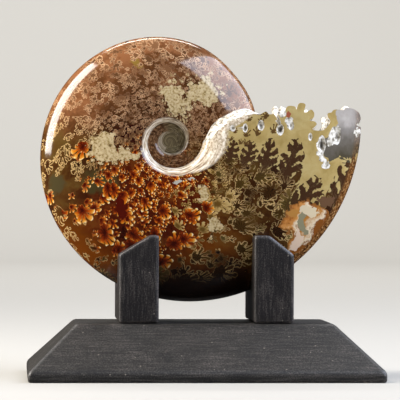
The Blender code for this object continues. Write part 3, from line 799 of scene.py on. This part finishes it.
@dataclass
class Ammonite:
    """The fossil: a coil that grows by a fixed share each turn, broken open at its last chamber.

    Lengths are millimetres, places are (x, z) from the coil's centre, and angles are radians
    unless a name says otherwise.
    """

    centre: Point = (-14.1, 101.7)
    first_radius: float = 38.0
    growth: float = 0.1246
    half_thickness: float = 11.7
    thickness_growth: float = 0.0746

    # Section of a whorl, as shares of its outer radius.
    seam: float = 0.17
    crest: float = 0.33
    wall_power: float = 2.6
    flank_power: float = 2.2
    venter_power: float = 0.56

    # The flat that polishing left above the aperture, and the worn middle of the umbilicus.
    flat_depth: float = 0.8
    flat_degrees: float = 48.0
    flat_spread_degrees: float = 17.0
    umbilicus_shift: Point = (-0.6, 1.0)
    shift_fade: Point = (12.0, 45.0)
    button_fade: Point = (3.4, 5.4)
    button_half_thickness: float = 6.6

    # Mesh steps: rows of the inner whorls and of the last whorl's even band, columns, and the end
    # patch, laid out flat in millimetres for each radian along the coil and across the section.
    steps_per_whorl: int = 256
    inner_rows: int = 336
    band_rows: int = 236
    wall_steps: int = 14
    flank_steps: int = 44
    break_steps: int = 14
    lay_steps: int = 400
    margin_step: float = 0.5
    outer_step: float = 1.2
    patch_step: float = 0.85
    patch_scale: Point = (60.0, 43.0)
    pit_rings: int = 5
    pit_gap: float = 0.25
    weld_distance: float = 0.004
    smooth_degrees: float = 40.0

    # The broken edge: where it starts, where the earlier whorl comes out from under it as
    # (share of the radius, degrees), where it lies over that whorl, and its free, frilled part.
    start_degrees: float = -4.0
    start_edge: tuple[Point, ...] = ((0.372, -4.0), (0.41, 10.0), (0.473, 20.4), (0.568, 25.5),
                                     (0.77, 26.9), (0.90, 25.2), (1.0, 20.0))
    covering_margin: tuple[Point, ...] = ((14.0, -0.9), (17.4, 0.3), (19.0, 3.3), (22.4, 6.7),
                                          (28.9, 10.6), (33.2, 12.2), (37.8, 12.4))
    frilled_margin: tuple[Point, ...] = (
        (37.8, 12.4), (40.2, 13.7), (41.7, 12.5), (43.7, 12.7), (45.1, 11.2), (44.4, 10.2), (45.9, 9.7),
        (46.9, 11.7), (45.3, 14.3), (46.6, 15.9), (48.4, 14.9), (49.5, 16.3), (52.9, 16.0), (53.6, 14.7),
        (54.5, 17.1), (56.1, 17.6), (57.6, 16.8), (56.9, 13.7), (58.1, 13.5), (60.1, 14.8), (61.5, 13.3),
        (61.2, 11.3), (59.5, 10.1), (61.8, 9.6), (62.6, 8.3), (60.7, 6.3), (63.0, 5.7), (65.8, 6.0),
        (68.1, 8.3), (68.8, 10.0), (67.7, 11.7), (67.7, 13.3), (69.4, 13.7), (70.6, 14.9), (74.9, 14.9),
        (76.3, 15.8), (79.3, 15.5), (81.7, 14.4), (82.9, 13.1), (83.4, 11.0), (82.3, 9.7), (80.7, 9.2),
        (81.5, 8.2), (83.4, 7.6), (84.26, 6.3))
    break_floor: tuple[Point, ...] = ((37.3, 13.6), (41.2, 8.9), (46.0, 5.6), (57.0, 1.3), (68.1, 0.1),
                                      (76.0, 2.3), (80.8, 5.5), (84.26, 6.3))
    floor_setback: float = 1.2

    # Crystal grains on the broken face.
    grain_size: float = 2.2
    grain_height: float = 0.5
    grain_seed: int = 5

    # Hollows under the broken edge: (x, z, half width, half height, depth).
    pits: tuple[tuple[float, ...], ...] = (
        (26.3, 5.9, 1.2, 1.6, 1.3), (31.5, 6.2, 1.1, 2.2, 1.5), (38.2, 7.6, 1.5, 2.4, 1.8),
        (46.5, 6.0, 1.7, 2.7, 2.0), (51.3, 7.7, 1.4, 2.1, 1.4), (59.8, 3.0, 1.0, 1.8, 1.4),
        (65.0, -0.3, 1.9, 4.2, 2.4), (71.9, 3.7, 1.8, 4.2, 1.6))

    shell: AgatisedShell = field(default_factory=AgatisedShell)

    # Found from the sizes: the last whorl's first angle, the section angle of the next whorl's seam
    # and how high it lies, and the length along the section at even steps.
    start: float = field(init=False)
    next_seam: float = field(init=False)
    seam_rise: float = field(init=False, default=1.0)
    laid: list[float] = field(init=False)

    def __post_init__(self) -> None:
        """Finds where the next whorl's seam lies on this whorl, so that the two surfaces meet."""
        self.start = math.radians(self.start_degrees)
        self.next_seam = self.across_at(self.seam * math.exp(TURN * self.growth))
        self.seam_rise = self.section(self.next_seam)[1] / math.exp(TURN * self.thickness_growth)
        # The section's proportions change slowly, so those at three quarters of a turn stand for all.
        slim = self.half_thickness / self.first_radius * math.exp(
            (self.thickness_growth - self.growth) * 0.75 * TURN)
        self.laid = [0.0]
        sections = [self.section(math.pi * i / self.lay_steps) for i in range(self.lay_steps + 1)]
        for (share, rise), (next_share, next_rise) in zip(sections, sections[1:]):
            run = math.hypot(next_share - share, (next_rise - rise) * slim)
            self.laid.append(self.laid[-1] + run * 2 / (share + next_share))

    def radius(self, angle: float) -> float:
        """Gives the radius of the coil's outer edge."""
        return self.first_radius * math.exp(self.growth * angle)

    def section(self, across: float) -> Point:
        """Gives a point of the whorl's section.

        Args:
            across: 0 on the seam, a quarter turn on the crest, half a turn on the outer edge.

        Returns:
            Share of the outer radius and share of the half thickness.
        """
        if across < math.pi / 2:
            out = max(0.0, math.cos(across)) ** (2 / self.wall_power)
            rise = self.seam_rise + (1 - self.seam_rise) * math.sin(across) ** (2 / self.wall_power)
            return self.crest - (self.crest - self.seam) * out, rise
        turn = across - math.pi / 2
        out = math.sin(turn) ** (2 / self.flank_power)
        return self.crest + (1 - self.crest) * out, max(0.0, math.cos(turn)) ** (2 * self.venter_power)

    def across_at(self, share: float) -> float:
        """Gives the section angle at a share of the radius.

        Args:
            share: Share of the outer radius.

        Returns:
            The angle that section takes.
        """
        if share < self.crest:
            out = (self.crest - share) / (self.crest - self.seam)
            return math.acos(min(1.0, out) ** (self.wall_power / 2))
        out = min(1.0, (share - self.crest) / (1 - self.crest))
        return math.pi / 2 + math.asin(out ** (self.flank_power / 2))

    def laid_section(self, across: float, side: Side) -> Spot:
        """Gives a point of the section with how far along it lies.

        Args:
            across: The section angle.
            side: The flank. On the far one, the length counts on over the outer edge.

        Returns:
            Share of the outer radius, share of the half thickness and length along the section.
        """
        step = across / math.pi * self.lay_steps
        low = min(int(step), self.lay_steps - 1)
        lay = self.laid[low] + (self.laid[low + 1] - self.laid[low]) * (step - low)
        return *self.section(across), lay if side is Side.NEAR else 2 * self.laid[-1] - lay

    def place(self, x: float, z: float) -> Point:
        """Finds a place of the coil's plane on the last whorl.

        Args:
            x: Across the coil from its centre.
            z: Up from its centre.

        Returns:
            Coil angle and section angle.
        """
        angle = math.atan2(z, x)
        if angle < math.pi / 2:
            angle += TURN
        return angle, self.across_at(math.hypot(x, z) / self.radius(angle))

    def row_angle(self, step: float) -> float:
        """Gives the coil angle of a row, counted from the start of the last whorl."""
        return self.start + step * TURN / self.steps_per_whorl

    def columns(self) -> list[float]:
        """Divides the section.

        Returns:
            The section angles of the sheet's columns, from the seam to the outer edge.
        """
        span = math.pi - self.next_seam
        columns = [self.next_seam * i / self.wall_steps for i in range(self.wall_steps)]
        columns += [self.next_seam + span * i / self.flank_steps for i in range(self.flank_steps + 1)]
        return columns

    def late(self, across: float) -> float:
        """Tells where the earlier whorl comes out from under the last one.

        Args:
            across: The section angle.

        Returns:
            How far past the start angle it does.
        """
        if across <= self.next_seam:
            return 0.0
        return math.radians(along(self.start_edge, self.section(across)[0])) - self.start

    def margin(self, side: Side) -> list[Point]:
        """Gives the whole broken edge of one flank.

        Args:
            side: The flank. The far one broke a little differently.

        Returns:
            Coil angle and section angle at each point, from the seam to the outer edge.
        """
        covering = curved(list(self.covering_margin), 0.1)
        lengths = [0.0]
        for a, b in zip(covering, covering[1:]):
            lengths.append(lengths[-1] + math.dist(a, b))
        points = []
        tables = [list(zip(lengths, values)) for values in zip(*covering)]
        for step in range(1, self.flank_steps + 1):
            points.append(tuple(along(t, lengths[-1] * step / self.flank_steps) for t in tables))
        for x, z in curved(list(self.frilled_margin), self.margin_step)[1:]:
            if side is Side.FAR:
                fade = smooth_step(38.0, 44.0, x) * (1 - smooth_step(76.0, 83.0, x))
                x, z = x + 0.8 * fade * math.sin(0.5 * z), z + 1.4 * fade * math.sin(0.42 * x + 0.6)
            else:
                z = z - 2.6 * math.exp(-(((x - 47.0) / 1.9) ** 2))
            points.append((x, z))
        places = [(self.start + TURN, 0.0)] + [self.place(x, z) for x, z in points]
        places[-1] = (places[-1][0], math.pi)
        return places

    def pit_depth(self, x: float, z: float) -> float:
        """Gives how deep the surface lies under the polished flank.

        Args:
            x: Across the coil from its centre.
            z: Up from its centre.

        Returns:
            The depth in millimetres.
        """
        depth = 0.0
        for pit_x, pit_z, half_width, half_height, most in self.pits:
            reach = math.hypot((x - pit_x) / half_width, (z - pit_z) / half_height)
            depth = max(depth, most * (1 - smooth_step(0.0, 1.0, reach)))
        return depth

    def lay_whorls(self, sheet: Sheet, side: Side) -> list[int]:
        """Lays out the flank from the middle of the umbilicus to where the end patch begins.

        Args:
            sheet: The sheet to add to.
            side: The flank.

        Returns:
            Points of the earlier whorl's edge where it comes out from under the last whorl.
        """
        sections = [(a, self.laid_section(a, side)) for a in self.columns()]
        wall = [s for _, s in sections[:self.wall_steps + 1]]
        rows = [[sheet.point(self.row_angle(step), s, side) for s in wall]
                for step in range(-self.inner_rows, 1)]
        for first, second in zip(rows, rows[1:]):
            sheet.strip(first, second)
        middle = sheet.point(self.row_angle(-self.inner_rows), (0.0, 1.0, 0.0), side)
        ring = [row[0] for row in rows[:self.steps_per_whorl + 1]] + rows[0][-2::-1]
        sheet.faces += [(a, b, middle) for a, b in zip(ring, ring[1:])]

        # The slanting first row straightens out over a sixth of a turn.
        fade = self.steps_per_whorl / 6
        start = [sheet.point(self.start + self.late(a), s, side) for a, s in sections]
        rows = [start]
        for step in range(1, self.band_rows + 1):
            keep = max(0.0, 1 - step / fade)
            rows.append([sheet.point(self.row_angle(step) + self.late(a) * keep, s, side)
                         for a, s in sections])
        for first, second in zip(rows, rows[1:]):
            sheet.strip(first, second)
        return start[self.wall_steps:]

    def pit_places(self) -> list[Point]:
        """Lays rings of points in the pits.

        Returns:
            Coil angle and section angle of each.
        """
        places = []
        for pit_x, pit_z, half_width, half_height, _ in self.pits:
            for ring in range(self.pit_rings):
                out = ring / (self.pit_rings - 1)
                count = max(1, self.pit_rings * ring)
                for turn in (i * TURN / count for i in range(count)):
                    places.append(self.place(pit_x + half_width * out * math.cos(turn),
                                             pit_z + half_height * out * math.sin(turn)))
        return places

    def lay_patch(self, sheet: Sheet, side: Side, edge: list[Point]) -> list[int]:
        """Lays out the flank between the band and the broken edge, with its pits.

        Args:
            sheet: The sheet to add to.
            side: The flank.
            edge: The broken edge.

        Returns:
            Points of the broken edge.
        """
        first = self.row_angle(self.band_rows)
        last = edge[-1][0]
        columns = self.columns()
        outer_count = round((last - first) * self.radius(last) / self.outer_step)
        outer = [(first + (last - first) * i / outer_count, math.pi) for i in range(1, outer_count)]
        seam = [(self.row_angle(s), 0.0) for s in range(self.band_rows + 1, self.steps_per_whorl)]
        kept = [(first, a) for a in columns] + outer + edge[::-1] + seam[::-1]
        along_scale, across_scale = self.patch_scale
        outline = [(angle * along_scale, across * across_scale) for angle, across in kept]
        count = len(outline)
        taken = kdtree.KDTree(count)
        for i, point in enumerate(outline):
            taken.insert((*point, 0), i)
        taken.balance()

        inner = self.pit_places()
        pits = len(inner)
        rows = round(math.pi * across_scale / self.patch_step)
        for row in range(1, rows):
            angle = first + (0.5 + row % 2 / 2) * self.patch_step / along_scale
            while angle < last:
                inner.append((angle, math.pi * row / rows))
                angle += self.patch_step / along_scale
        flat = outline[:]
        for number, (angle, across) in enumerate(inner):
            point = (angle * along_scale, across * across_scale)
            gap = self.pit_gap if number < pits else 0.55 * self.patch_step
            if taken.find((*point, 0))[2] < gap or not inside(point, outline):
                continue
            if number >= pits and any(math.dist(point, p) < 0.5 * self.patch_step
                                      for p in flat[count:count + pits]):
                continue
            flat.append(point)
            kept.append((angle, across))

        edges = [(i, (i + 1) % count) for i in range(count)]
        _, _, faces, sources, _, _ = delaunay_2d_cdt([Vector(p) for p in flat], edges, [], 1, 1e-6)
        indices = []
        for source in sources:
            angle, across = kept[source[0]]
            section = self.laid_section(across, side)
            sink = 0.0
            if source[0] >= count:
                reach = section[0] * self.radius(angle)
                sink = self.pit_depth(reach * math.cos(angle), reach * math.sin(angle)) * MM
            indices.append(sheet.point(angle, section, side, sink))
        sheet.faces += [tuple(indices[i] for i in face) for face in faces]
        where = {source[0]: index for source, index in zip(sources, indices)}
        rim_start = len(columns) + len(outer)
        return [where[i] for i in range(rim_start, rim_start + len(edge))][::-1]

    def coil_tree(self) -> tuple[bpy.types.NodeTree, dict[str, float]]:
        """Builds the tree that coils the sheet.

        Returns:
            The tree, and the value of each of its named inputs by socket identifier.
        """
        sizes = {
            "First Radius": self.first_radius * MM, "Growth": self.growth,
            "Half Thickness": self.half_thickness * MM, "Thickness Growth": self.thickness_growth,
            "Flat Depth": self.flat_depth * MM, "Flat Angle": math.radians(self.flat_degrees),
            "Flat Spread": math.radians(self.flat_spread_degrees),
            "Shift X": self.umbilicus_shift[0] * MM, "Shift Z": self.umbilicus_shift[1] * MM,
            "Shift Near": self.shift_fade[0] * MM, "Shift Far": self.shift_fade[1] * MM,
            "Button Near": self.button_fade[0] * MM, "Button Far": self.button_fade[1] * MM,
            "Button Half Thickness": self.button_half_thickness * MM,
            "Centre X": self.centre[0] * MM, "Centre Z": self.centre[1] * MM,
        }
        tree = new_group("coil the shell", "Geometry",
                         {"Sheet": "Geometry"} | dict.fromkeys(sizes, "Float"), {"Shell": "Geometry"})
        values = {s.identifier: sizes[s.name] for s in tree.interface.items_tree if s.name in sizes}
        put = partial(add, tree)
        given = put("NodeGroupInput").outputs
        keys = ("angle", "share", "rise", "side", "sink")
        coil = {key: put("GeometryNodeInputNamedAttribute", Name="coil_" + key) for key in keys}

        grown = put(MATH, "EXPONENT", put(MATH, "MULTIPLY", coil["angle"], given["Growth"]))
        whole = put(MATH, "MULTIPLY", grown, given["First Radius"])
        off = put(MATH, "DIVIDE", put(MATH, "SUBTRACT", coil["angle"], given["Flat Angle"]),
                  given["Flat Spread"])
        bell = put(MATH, "EXPONENT", put(MATH, "MULTIPLY", put(MATH, "MULTIPLY", off, off), -1.0))
        outer = put(RANGE, coil["share"], 0.5, 1.0, interpolation_type="SMOOTHSTEP")
        flat = put(MATH, "MULTIPLY", put(MATH, "MULTIPLY", bell, outer), given["Flat Depth"])
        radius = put(MATH, "SUBTRACT", put(MATH, "MULTIPLY", whole, coil["share"]), flat)

        thick = put(MATH, "EXPONENT", put(MATH, "MULTIPLY", coil["angle"], given["Thickness Growth"]))
        half = put(MATH, "MULTIPLY", put(MATH, "MULTIPLY", thick, given["Half Thickness"]),
                   coil["rise"])
        button = put(RANGE, radius, given["Button Near"], given["Button Far"],
                     interpolation_type="SMOOTHSTEP")
        half = put(MIX, "FLOAT", button, given["Button Half Thickness"], half)
        depth = put(MATH, "MULTIPLY", put(MATH, "SUBTRACT", half, coil["sink"]), coil["side"])

        near = put(RANGE, radius, given["Shift Near"], given["Shift Far"], 1.0, 0.0,
                   interpolation_type="SMOOTHSTEP")
        along_x = put(MATH, "MULTIPLY_ADD", put(MATH, "COSINE", coil["angle"]), radius,
                      put(MATH, "MULTIPLY_ADD", near, given["Shift X"], given["Centre X"]))
        along_z = put(MATH, "MULTIPLY_ADD", put(MATH, "SINE", coil["angle"]), radius,
                      put(MATH, "MULTIPLY_ADD", near, given["Shift Z"], given["Centre Z"]))
        place = put(JOIN, along_x, depth, along_z)
        moved = put("GeometryNodeSetPosition", given["Sheet"], Position=place)
        plain = put("GeometryNodeRealizeInstances", moved)
        dressed = put("GeometryNodeSetMaterial", plain, Material=self.shell.material())
        put("NodeGroupOutput", dressed)
        return tree, values

    def floor_points(self, near: list[float], far: list[float]) -> list[Spot]:
        """Gives the break's floor in the coil's plane, one point under each point of the free edge.

        Args:
            near: X of the near flank's free edge, from the centre.
            far: X of the far flank's free edge.

        Returns:
            The floor's points from the coil's centre, without the two ends.
        """
        free = steady([(a + b) / 2 for a, b in zip(near, far)])
        table = list(self.break_floor)
        reach = (free[-1] - free[0]) / (table[-1][0] - table[0][0])
        xs = [table[0][0] + (x - free[0]) / reach for x in free[1:-1]]
        xs = [x - self.floor_setback * smooth_step(76.0, 83.0, x) for x in xs]
        return [(x, 0.0, along(table, x)) for x in xs]

    def add_break(self, mesh: bmesh.types.BMesh, rims: list[list[int]],
                  starts: list[list[int]]) -> None:
        """Adds the fluted broken face between each flank's edge and the floor of the break.

        Args:
            mesh: The coiled shell.
            rims: The broken edge's points on each flank.
            starts: The earlier whorl's edge points on each flank.
        """
        broken = mesh.verts.layers.float.new("broken")
        angle = mesh.verts.layers.float["coil_angle"]
        share = mesh.verts.layers.float["coil_share"]
        lay = mesh.verts.layers.float["coil_lay"]
        centre = Vector((self.centre[0] * MM, 0, self.centre[1] * MM))
        verts = list(mesh.verts)
        free = [[(verts[i].co - centre).x / MM for i in rim[self.flank_steps:]] for rim in rims]
        floor = [centre + Vector(p) * MM for p in self.floor_points(*free)]
        # A seed of its own gives the same grain on each run.
        noise.seed_set(self.grain_seed)
        for rim, start in zip(rims, starts):
            top = [verts[i] for i in rim]
            low = [verts[i].co.copy() for i in start] + floor + [top[-1].co.copy()]
            rows = [top]
            for step in range(1, self.break_steps + 1):
                t = step / self.break_steps
                row = []
                for i, (a, b) in enumerate(zip(top, low)):
                    hang = smooth_step(self.flank_steps - 10, self.flank_steps + 8, i)
                    slide = (1 - hang) * math.sin(t * math.pi / 2) + hang * smooth_step(0.05, 0.95, t)
                    sink = (1 - hang) * (1 - math.cos(t * math.pi / 2)) + hang * t
                    spot = Vector((a.co.x + (b.x - a.co.x) * slide, a.co.y + (b.y - a.co.y) * sink,
                                   a.co.z + (b.z - a.co.z) * slide))
                    if 0 < step < self.break_steps:
                        rough = hang * math.sin(math.pi * t) * self.grain_height * MM
                        spot += noise.noise_vector(spot / (self.grain_size * MM)) * rough
                    vert = mesh.verts.new(spot)
                    vert[broken] = 1.0
                    vert[angle] = a[angle]
                    vert[share] = a[share]
                    vert[lay] = a[lay]
                    row.append(vert)
                rows.append(row)
            for first, second in zip(rows, rows[1:]):
                for a, b, c, d in zip(first, first[1:], second[1:], second):
                    mesh.faces.new((a, b, c, d))

    def hold_on_corners(self, mesh: bmesh.types.BMesh) -> None:
        """Moves what the material reads from points to face corners.

        A seam's points belong to two whorls, each with its own coil angle, and are merged later.

        Args:
            mesh: The coiled shell.
        """
        mesh.verts.index_update()
        for key in ("coil_angle", "coil_share", "coil_lay", "coil_sink", "broken"):
            on_points = mesh.verts.layers.float[key]
            held = [vert[on_points] for vert in mesh.verts]
            mesh.verts.layers.float.remove(on_points)
            on_corners = mesh.loops.layers.float.new(key)
            for face in mesh.faces:
                for corner in face.loops:
                    corner[on_corners] = held[corner.vert.index]

    def build(self) -> None:
        """Builds the fossil, dresses it and puts it in place of its solid."""
        sheet = Sheet()
        rims = []
        starts = []
        for side in Side:
            starts.append(self.lay_whorls(sheet, side))
            rims.append(self.lay_patch(sheet, side, self.margin(side)))
        obj = new_object("fossil", sheet.mesh("fossil"))
        tree, values = self.coil_tree()
        coiling = obj.modifiers.new("coil", "NODES")
        coiling.node_group = tree
        for identifier, value in values.items():
            coiling[identifier] = value
        finish_mesh(obj)

        mesh = bmesh.new()
        mesh.from_mesh(obj.data)
        self.add_break(mesh, rims, starts)
        self.hold_on_corners(mesh)
        bmesh.ops.remove_doubles(mesh, verts=mesh.verts, dist=self.weld_distance * MM)
        bmesh.ops.recalc_face_normals(mesh, faces=mesh.faces)
        bmesh.ops.triangulate(mesh, faces=mesh.faces)
        mesh.to_mesh(obj.data)
        mesh.free()
        obj.data.shade_smooth()
        obj.data.set_sharp_from_angle(angle=math.radians(self.smooth_degrees))
        log.info("fossil: %d triangles", len(obj.data.polygons))
        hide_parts("ammonite")
        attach(obj, "root")


@dataclass
class Stand:
    """The plinth and its two uprights, which keep their solids' shapes."""

    # Painted light and shade: the plinth's stain is lighter and the uprights' darker, for how the light
    # falls on each.
    flat_wood: BlackStainedWood = BlackStainedWood(
        (11.0, 0.7, 0.7), "black_stained_wood_plinth", ("141210", "292724", "474340"))
    upright_wood: BlackStainedWood = BlackStainedWood(
        (0.7, 0.7, 7.0), "black_stained_wood_upright", ("0b0909", "1e1a1a", "45403d"))

    def build(self, nodes: dict[str, bpy.types.Object]) -> None:
        """Dresses the plinth and the uprights.

        Args:
            nodes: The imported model's objects by name.
        """
        upright = self.upright_wood.material()
        dressed = {"stand_base": self.flat_wood.material(), "left_upright": upright,
                   "right_upright": upright}
        for name, material in dressed.items():
            for slot in nodes[name].material_slots:
                slot.material = material
            log.info("%s dressed", name)


@dataclass(frozen=True)
class Softbox:
    """A soft rectangular light, in metres and watts, with an sRGB hex colour."""

    name: str
    place: Spot
    aim: Spot
    size: Point
    power: float
    colour: str = "ffffff"
    mirrored: bool = True

    def build(self) -> None:
        """Adds the light. The polish mirrors it only if it is mirrored."""
        data = bpy.data.lights.new(self.name, "AREA")
        data.shape = "RECTANGLE"
        data.size, data.size_y = self.size
        data.energy = self.power
        data.color = linear(self.colour)[:3]
        obj = new_object(self.name, data)
        obj.location = self.place
        obj.rotation_euler = (Vector(self.aim) - Vector(self.place)).to_track_quat("-Z", "Y").to_euler()
        obj.visible_glossy = self.mirrored


@dataclass
class Studio:
    """A pale floor that sweeps up behind, soft lights and the camera.

    The floor is in metres, the camera's place and aim in millimetres as the fossil is.
    """

    half_width: float = 4.0
    sweep_start: float = 2.2
    sweep_radius: float = 0.8
    sweep_steps: int = 16
    wall_height: float = 4.0
    lights: tuple[Softbox, ...] = (
        Softbox("left softbox", (-0.72, -0.04, 0.5), (0.0, 0.0, 0.1), (0.38, 0.8), 18.0, "fffaf2"),
        Softbox("right window", (0.74, -0.24, 0.7), (0.0, 0.0, 0.13), (1.45, 0.8), 25.0, "e4edff"),
        Softbox("front fill", (-0.3, -1.4, 0.9), (0.0, 0.0, 0.08), (1.2, 0.6), 2.0, mirrored=False),
        Softbox("sweep light", (0.0, 1.3, 2.2), (0.0, 2.9, 0.5), (2.0, 0.8), 100.0))
    camera_place: Spot = (-84.0, -1244.5, 78.0)
    camera_aim: Spot = (-0.95, 0.0, 77.15)
    lens: float = 257.0
    roll_degrees: float = 0.25

    def floor(self) -> None:
        """Makes the floor and its sweep."""
        profile = [(-self.half_width, 0.0), (self.sweep_start, 0.0)]
        for i in range(1, self.sweep_steps + 1):
            turn = math.pi / 2 * i / self.sweep_steps
            profile.append((self.sweep_start + self.sweep_radius * math.sin(turn),
                            self.sweep_radius * (1 - math.cos(turn))))
        profile.append((self.sweep_start + self.sweep_radius, self.wall_height))
        points = [(x, y, z) for y, z in profile for x in (-self.half_width, self.half_width)]
        faces = [(2 * i, 2 * i + 1, 2 * i + 3, 2 * i + 2) for i in range(len(profile) - 1)]
        mesh = bpy.data.meshes.new("floor")
        mesh.from_pydata(points, [], faces)
        mesh.shade_smooth()
        # Matt paper scatters all light, so it shows no shine.
        material, shader = new_material("matt_pale_paper")
        shader.inputs["Base Color"].default_value = linear("a8a59f")
        shader.inputs["Roughness"].default_value = 0.8
        mesh.materials.append(material)
        floor = new_object("floor", mesh)
        # The polish mirrors the lights alone, which keeps the stone's colours deep.
        floor.visible_glossy = False

    def camera(self) -> None:
        """Adds the camera at the photograph's viewing angle."""
        data = bpy.data.cameras.new("camera")
        data.sensor_width = 36.0
        data.lens = self.lens
        data.clip_end = 20.0
        obj = new_object("camera", data)
        place = Vector(self.camera_place) * MM
        turn = (Vector(self.camera_aim) * MM - place).to_track_quat("-Z", "Y").to_euler()
        turn.rotate_axis("Z", math.radians(self.roll_degrees))
        obj.location = place
        obj.rotation_euler = turn
        bpy.context.scene.camera = obj

    def build(self) -> None:
        """Sets up the studio."""
        world = bpy.data.worlds.new("studio")
        world.use_nodes = True
        sky = world.node_tree.nodes["Background"].inputs
        sky["Color"].default_value = linear("8c8c90")
        sky["Strength"].default_value = 0.12
        bpy.context.scene.world = world
        bpy.context.scene.view_settings.view_transform = "Standard"
        self.floor()
        for light in self.lights:
            light.build()
        self.camera()
        log.info("studio set up")


def main() -> None:
    """Builds the fossil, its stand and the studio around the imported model."""
    logging.basicConfig(level=logging.INFO, format="%(name)s: %(message)s")
    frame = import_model()
    Ammonite().build()
    Stand().build(frame["nodes"])
    Studio().build()
    bpy.context.view_layer.update()


if __name__ == "__main__":
    main()
